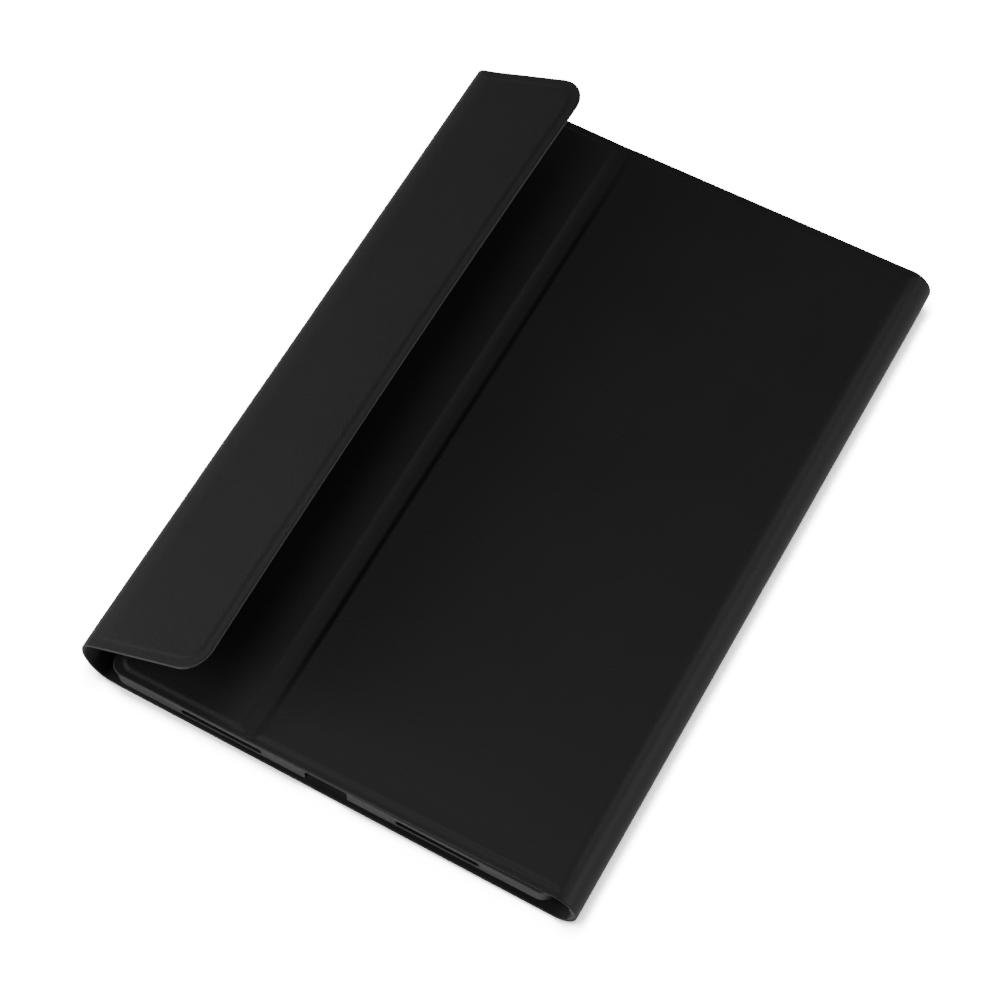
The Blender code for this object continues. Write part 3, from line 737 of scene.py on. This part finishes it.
def finish_nodes():
    """Every CAD node takes its slot's finish."""
    for part in frame["record"]["subparts"]:
        node = frame["nodes"][part["node"]]
        node.data.materials.clear()
        node.data.materials.append(MATERIALS[part["material_slot"]])
        for polygon in node.data.polygons:
            polygon.material_index = 0


# ------------------------------------------------------------------ skin pieces


def skin_bottom(s, y):
    """The skin's inner face."""
    return skin_height(s, y) - SKIN


def add_skin(name, s_lines, rides=None, stands_for=()):
    """One piece of the outer skin: it rides on a body, or stays where it was made."""

    def top(s, y):
        return skin_height(s, y) - end_drop(y)

    materials = [MATERIALS["outer_skin"], MATERIALS["cut_edge"]]
    piece = add_sheet(name, grid_of(s_lines), top, skin_bottom, materials)
    attach(piece, rides, stands_for, s_lines[0], s_lines[-1])


def add_shaped_skin(name, grid, inside, rides, stands_for):
    """A piece of the outer skin with a shaped free edge, whose distance inside(s, y) gives."""

    def top(s, y):
        return skin_height(s, y) - rim_drop(inside(s, y))

    materials = [MATERIALS["outer_skin"], MATERIALS["cut_edge"]]
    piece = add_sheet(name, grid, top, skin_bottom, materials, cut_sides=(False, True))
    attach(piece, rides, stands_for, 0, 0)


def attach(piece, rides, stands_for, low, high):
    """Hide the CAD nodes that a sheet stands for, and put it on a body; a sheet that rides no body stays where it
    was made."""
    if stands_for:
        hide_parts(*stands_for)
    if rides:
        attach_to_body(piece, rides)
    else:
        place(low, 0, 0)
        place(high, 0, 0)
        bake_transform(piece)


def outer_skins():
    """The outer skin's pieces in their order round the case, from the small panel to the flap."""
    spine_in, spine_out = AT["spine_top"], AT["spine_bottom"]
    stand_in = AT["stand_start"] + STAND_SHORT[0]
    stand_out = AT["stand_end"] - STAND_SHORT[1]
    small_out = AT["small_end"] - SMALL_SHORT
    add_shaped_skin(
        "small_panel_skin", small_grid(small_out), small_inside, "tablet_panel", ("tablet_panel_skin",)
    )
    add_skin(
        "groove_fold_skin",
        even(small_out, stand_in, 0.35),
        stands_for=("groove_skin",),
    )
    add_skin(
        "stand_panel_outer",
        spread(stand_in, stand_out, 6.0, 0.0),
        rides="stand_panel",
        stands_for=("stand_panel_skin",),
    )
    add_skin("spine_upper_fold_skin", even(stand_out, spine_in, 0.4))
    add_skin("spine_outer", even(spine_in, spine_out, 0.6), rides="spine", stands_for=("spine_skin",))
    lower = even(spine_out, AT["front_start"], 0.6)
    add_skin("spine_lower_fold_skin", lower)
    add_skin(
        "front_cover_outer",
        spread(AT["front_start"], AT["front_end"], 0.0, 0.0),
        rides="front_cover",
        stands_for=("front_cover_skin",),
    )
    first = even(AT["front_end"], LINK_1, 0.5)
    add_skin("strip_fold_skin_1", first)
    add_skin(
        "strip_fold_skin_2",
        even(LINK_1, LINK_2, 0.4),
        stands_for=("flap_strip_skin_1",),
    )
    add_skin(
        "strip_fold_skin_3",
        even(LINK_2, LINK_3, 0.4),
        stands_for=("flap_strip_skin_2",),
    )
    add_skin(
        "flap_fold_skin",
        even(LINK_3, AT["flap_start"], 0.4),
        stands_for=("flap_strip_skin_3",),
    )


def flap_pieces():
    """The flap's skin, its lining, and the stiffener between them."""
    start = AT["flap_start"]
    add_shaped_skin("flap_outer", flap_grid(start), flap_inside, "flap", ("flap_skin",))

    def lining_low(s, y):
        return unevenness(s, y) - LAYER - LINING + LINING_ROUNDING * rim_drop(flap_inside(s, y))

    def lining_top(s, y):
        return unevenness(s, y) - LAYER

    materials = [MATERIALS["lining"], MATERIALS["cut_edge"]]
    grid = flap_grid(start, LINING_INSET)
    lining = add_sheet("flap_inner", grid, lining_top, lining_low, materials, cut_sides=(False, True))
    attach(lining, "flap", ("flap_lining",), 0, 0)

    def board_top(s, y):
        return FLAP_CAP - SKIN + BITE + unevenness(s, y)

    def board_low(s, y):
        return board_top(s, y) - FLAP_BOARD

    root = start - FLAP_START + FLAP_RISE[1] + 0.5
    grid = flap_grid(root, FLAP_MARGIN + STEP_WIDTH, 6.0)
    board = add_sheet("flap_stiffener", grid, board_top, board_low, [MATERIALS["board"]] * 2)
    attach(board, "flap", ("flap_board", "flap_magnet_left", "flap_magnet_right"), 0, 0)


def linings():
    """The inner faces, one piece for each piece of skin that shows its inside."""

    def flat_top(s, y):
        return unevenness(s, y) - LAYER

    def flat_low(s, y):
        return flat_top(s, y) - LINING + LINING_ROUNDING * end_drop(y)

    def front_low(s, y):
        start, end = AT["front_start"] + 0.6, AT["front_end"] - 2.0
        inside = rounded_inside(s, y, start, end, HALF - MARGIN, BOARD_CORNER)
        return flat_low(s, y) - LINING_RISE * smooth((inside + STEP_LEAD) / STEP_WIDTH)

    y_lines = spread(-HALF + LINING_INSET, HALF - LINING_INSET, 11.0, 11.0, 9.0)
    materials = [MATERIALS["lining"], MATERIALS["cut_edge"]]

    def add(name, s_lines, low=flat_low, rides=None, bends=None, stands_for=(), sides=(False, False)):
        piece = add_sheet(name, grid_of(s_lines, y_lines), flat_top, low, materials, cut_sides=sides)
        attach(piece, rides, stands_for, s_lines[0], s_lines[-1])

    front = spread(AT["front_start"], AT["front_end"], 9.0, 9.0)
    add("front_cover_inner", front, front_low, rides="front_cover", stands_for=("front_cover_lining",))
    strip = ["front_cover", "flap_strip_1", "flap_strip_2", "flap_strip_3", "flap"]
    cuts = [AT["front_end"], LINK_1, LINK_2, LINK_3, AT["flap_start"]]
    for i in range(4):
        add(
            f"strip_fold_lining_{i + 1}",
            even(cuts[i], cuts[i + 1], 0.5),
            bends=(strip[i], strip[i + 1]),
            stands_for=(f"flap_strip_lining_{i}",) if i else (),
        )
    spine_in, spine_out = AT["spine_top"], AT["spine_bottom"]
    stand_out = AT["stand_end"] - STAND_SHORT[1]
    add(
        "stand_panel_inner",
        spread(AT["stand_start"] + 0.2, stand_out, 3.0, 0.0),
        rides="stand_panel",
        stands_for=("stand_panel_lining",),
        sides=(True, False),
    )
    add("spine_upper_fold_lining", even(stand_out, spine_in, 0.5), bends=("stand_panel", "spine"))
    lower = even(spine_out, AT["front_start"], 0.6)
    add("spine_lower_fold_lining", lower, bends=("spine", "front_cover"))

    def spine_low(s, y):
        middle = (spine_in + spine_out) / 2
        reach = (spine_out - spine_in) / 2
        return flat_low(s, y) - LINING_RISE * smooth((reach - abs(s - middle)) / 2.0)

    spine = even(spine_in, spine_out, 0.6)
    add("spine_inner", spine, spine_low, rides="spine", stands_for=("spine_lining",))


# ------------------------------------------------------------------------ tray


def arc(centre, radius, start, end, steps):
    """Points of an arc between two angles in degrees."""
    points = []
    for i in range(steps + 1):
        turn = math.radians(start + (end - start) * i / steps)
        points.append((centre[0] + radius * math.cos(turn), centre[1] + radius * math.sin(turn)))
    return points


def rounded(s0, s1, y0, y1, radius, steps):
    """A rectangle with round corners."""
    r = radius
    return (
        arc((s1 - r, y1 - r), r, 0, 90, steps)
        + arc((s0 + r, y1 - r), r, 90, 180, steps)
        + arc((s0 + r, y0 + r), r, 180, 270, steps)
        + arc((s1 - r, y0 + r), r, 270, 360, steps)
    )


def loft(rings, point):
    """A closed bmesh through rings of matching (a, b) points; point turns (a, b, height) to metres."""
    mesh = bmesh.new()
    loops = [[mesh.verts.new(point(a, b, height)) for a, b in outline] for outline, height in rings]
    for low, high in zip(loops, loops[1:]):
        count = len(low)
        for i in range(count):
            j = (i + 1) % count
            mesh.faces.new((low[i], low[j], high[j], high[i]))
    mesh.faces.new(loops[0])
    mesh.faces.new(loops[-1])
    bmesh.ops.recalc_face_normals(mesh, faces=mesh.faces)
    return mesh


def merged(meshes):
    """Several bmeshes as one."""
    whole = bmesh.new()
    for mesh in meshes:
        data = bpy.data.meshes.new("shape")
        mesh.to_mesh(data)
        mesh.free()
        whole.from_mesh(data)
        bpy.data.meshes.remove(data)
    return whole


def settle(piece):
    """Make a piece's modifiers part of its mesh."""
    graph = bpy.context.evaluated_depsgraph_get()
    made = bpy.data.meshes.new_from_object(piece.evaluated_get(graph))
    piece.modifiers.clear()
    piece.data = made
    made.shade_smooth()
    made.set_sharp_from_angle(angle=math.radians(SMOOTH_ANGLE))


def bevel_edges(piece, width):
    """Round a piece's sharp edges with a modifier."""
    soften = piece.modifiers.new("soften", "BEVEL")
    soften.width = width * MM
    soften.segments = 2
    soften.limit_method = "ANGLE"
    soften.angle_limit = math.radians(BEVEL_ANGLE)


def carve(piece, cutters, bevel):
    """Take closed shapes out of a piece and soften the edges that this leaves."""
    tool = new_object("carver", merged(cutters), [])
    step = piece.modifiers.new("carve", "BOOLEAN")
    step.operation = "DIFFERENCE"
    step.solver = "EXACT"
    step.object = tool
    bevel_edges(piece, bevel)
    settle(piece)
    bpy.data.objects.remove(tool, do_unlink=True)


def tray_point(s, y, n):
    """A point in the tray's own directions: across, along and out of its back."""
    x, z = TRAY.point(s, n)
    return Vector((x, y, z)) * MM


def end_point(s, n, y):
    """A point of an outline that is drawn on the tray's near end."""
    return tray_point(s, y, n)


def tray_outline(inset):
    start, end = TRAY_SPAN
    half = TRAY_HALF - inset
    return rounded(start + inset, end - inset, -half, half, TRAY_CORNER - inset, 12)


def tray_rings():
    """The tray's outlines and heights: over its crowned back, round its heel and lip, and up inside."""
    rings = []
    for i in range(6):
        turn = math.radians(90 - 18 * i)
        rings.append((tray_outline(TRAY_CROWN * (1 - math.cos(turn))), -TRAY_CROWN * (1 - math.sin(turn))))
    for i in range(4):
        turn = math.radians(30 * i)
        height = -TRAY_DEPTH + TRAY_HEEL * (1 - math.sin(turn))
        rings.append((tray_outline(TRAY_HEEL * (1 - math.cos(turn))), height))
    nose = TRAY_WALL + TRAY_LIP - LIP_NOSE
    for i in range(5):
        turn = math.radians(-90 + 45 * i)
        height = -TRAY_DEPTH + LIP_HALF + LIP_HALF * math.sin(turn)
        rings.append((tray_outline(nose + LIP_NOSE * math.cos(turn)), height))
    rings.append((tray_outline(TRAY_WALL), -TRAY_DEPTH + 2 * LIP_HALF))
    rings.append((tray_outline(TRAY_WALL), -TRAY_FLOOR - 0.4))
    rings.append((tray_outline(TRAY_WALL + 0.4), -TRAY_FLOOR))
    return rings


def tray_cutters():
    """The speaker slots and the port notch in the tray's near end."""
    cutters = []
    outside = -TRAY_HALF - 3
    low, high = SLOT_HEIGHTS
    for start, end in SLOT_SPANS:
        slot = rounded(start, end, low, high, (high - low) / 2 - 0.05, 8)
        cutters.append(loft([(slot, outside), (slot, -TRAY_HALF + TRAY_WALL + 0.6)], end_point))
    start, end = NOTCH_SPAN
    notch = rounded(start, end, -TRAY_DEPTH - 4, -TRAY_FLOOR - 0.1, 1.0, 6)
    cutters.append(loft([(notch, outside), (notch, -TRAY_HALF + TRAY_WALL + TRAY_LIP + 1)], end_point))
    return cutters


def tray():
    shell = new_object("tray_shell", loft(tray_rings(), tray_point), [MATERIALS["tray_plastic"]])
    carve(shell, tray_cutters(), CUT_BEVEL)
    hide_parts("tablet_tray")
    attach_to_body(shell, "tablet_panel")


# -------------------------------------------------------------------- keyboard


def cap_boxes(node):
    """The (x0, x1, y0, y1, z) in millimetres of each flat key top of one of the frame's key nodes."""
    mesh = bmesh.new()
    mesh.from_mesh(node.data)
    mesh.transform(node.matrix_world)
    bmesh.ops.remove_doubles(mesh, verts=mesh.verts, dist=0.01 * MM)
    top = max(vert.co.z for vert in mesh.verts)
    left = {face for face in mesh.faces if face.calc_center_median().z > top - 0.02 * MM}
    boxes = []
    while left:
        found = [left.pop()]
        for face in found:
            near = {other for edge in face.edges for other in edge.link_faces} & left
            left -= near
            found.extend(near)
        xs = [vert.co.x / MM for face in found for vert in face.verts]
        ys = [vert.co.y / MM for face in found for vert in face.verts]
        boxes.append((min(xs), max(xs), min(ys), max(ys), top / MM))
    mesh.free()
    return sorted(boxes)


def key_cap(x0, x1, y0, y1, top):
    """One key: rounded corners, a soft upper edge and a shallow dish."""
    rings = []
    for ring, height in CAP_RINGS:
        inset = ring - CAP_CHAMFER
        outline = rounded(x0 + inset, x1 - inset, y0 + inset, y1 - inset, max(0.3, CAP_CORNER - ring), 5)
        rings.append((outline, top + height))
    return loft(rings, lambda x, y, height: Vector((x, y, height)) * MM)


def softened(name, body, slot, width):
    """A moulded part of the frame again, with its sharp edges rounded."""
    mesh = bmesh.new()
    mesh.from_mesh(frame["nodes"][name].data)
    bmesh.ops.remove_doubles(mesh, verts=mesh.verts, dist=0.002 * MM)
    bmesh.ops.dissolve_limit(
        mesh, angle_limit=math.radians(1), verts=list(mesh.verts), edges=list(mesh.edges)
    )
    piece = new_object(f"{name}_moulding", mesh, [MATERIALS[slot]])
    bevel_edges(piece, width)
    settle(piece)
    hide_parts(name)
    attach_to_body(piece, body)


def keys():
    """One piece of caps for each of the frame's key nodes."""
    for body, nodes in frame["record"]["behaviour"]["bodies"].items():
        name = nodes[0]
        if not name.startswith("key"):
            continue
        caps = [key_cap(*box) for box in cap_boxes(frame["nodes"][name])]
        piece = new_object(f"{name}_cap", merged(caps), [MATERIALS["key_plastic"]])
        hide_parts(name)
        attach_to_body(piece, body)


# ----------------------------------------------------------------- stage, light


def floor_material():
    """A white sweep that glows, brightly to the camera and faintly to other rays, with a painted contact shadow:
    ambient occlusion darkens the glow close to whatever stands on it.
    """
    material, tree, principled = shader("floor", (0.8, 0.8, 0.8), 0.9, specular=0.0)
    # Painted contact shadow: ambient occlusion near the case, raised to a power, darkens the floor's glow
    shade = tree.nodes.new("ShaderNodeAmbientOcclusion")
    shade.inputs["Distance"].default_value = PAINTED_SHADOW_REACH * MM
    shade.samples = 4
    painted_shadow_falloff = tree.nodes.new("ShaderNodeMath")
    painted_shadow_falloff.operation = "POWER"
    painted_shadow_falloff.inputs[1].default_value = PAINTED_SHADOW_POWER
    tree.links.new(shade.outputs["AO"], painted_shadow_falloff.inputs[0])
    rays = tree.nodes.new("ShaderNodeLightPath")
    glow = tree.nodes.new("ShaderNodeMapRange")
    glow.inputs["To Min"].default_value = FLOOR_BOUNCE
    glow.inputs["To Max"].default_value = FLOOR_GLOW
    tree.links.new(rays.outputs["Is Camera Ray"], glow.inputs["Value"])
    total = tree.nodes.new("ShaderNodeMath")
    total.operation = "MULTIPLY"
    tree.links.new(painted_shadow_falloff.outputs["Value"], total.inputs[0])
    tree.links.new(glow.outputs["Result"], total.inputs[1])
    principled.inputs["Emission Color"].default_value = (1.0, 1.0, 1.0, 1.0)
    tree.links.new(total.outputs["Value"], principled.inputs["Emission Strength"])
    return material


def stage():
    """The floor, just under the case, and an even white light from all sides."""
    mesh = bmesh.new()
    bmesh.ops.create_grid(mesh, x_segments=1, y_segments=1, size=6.0)
    floor = new_object("floor", mesh, [floor_material()])
    floor.location.z = -FLOOR_DROP * MM
    world = bpy.data.worlds.new("studio")
    bpy.context.scene.world = world
    world.use_nodes = True
    background = world.node_tree.nodes["Background"]
    background.inputs["Color"].default_value = (1.0, 1.0, 1.0, 1.0)
    background.inputs["Strength"].default_value = WORLD_STRENGTH


def soft_light(name, at, size, power):
    """A round soft box aimed at the case."""
    data = bpy.data.lights.new(name, "AREA")
    data.shape = "DISK"
    data.size = size
    data.energy = power
    lamp = bpy.data.objects.new(name, data)
    bpy.context.scene.collection.objects.link(lamp)
    lamp.location = at
    lamp.rotation_euler = (Vector(LIGHT_AIM) - Vector(at)).to_track_quat("-Z", "Y").to_euler()


def lights():
    for name, at, size, power in LIGHTS:
        soft_light(name, at, size, power)


def camera():
    data = bpy.data.cameras.new("camera")
    data.lens = CAMERA_LENS
    data.sensor_width = 36.0
    data.clip_start = 0.01
    made = bpy.data.objects.new("camera", data)
    bpy.context.scene.collection.objects.link(made)
    axes = Matrix((CAMERA_RIGHT, CAMERA_UP, CAMERA_BACK)).transposed()
    made.matrix_world = Matrix.Translation(Vector(CAMERA_PLACE) * MM) @ axes.to_4x4()
    bpy.context.scene.camera = made


camera()
finish_nodes()
outer_skins()
flap_pieces()
linings()
tray()
softened("keyboard_base", "front_cover", "keyboard_plastic", 0.25)
softened("keyboard_frame", "front_cover", "keyboard_plastic", 0.1)
softened("power_switch", "power_switch", "key_plastic", 0.15)
keys()
stage()
lights()
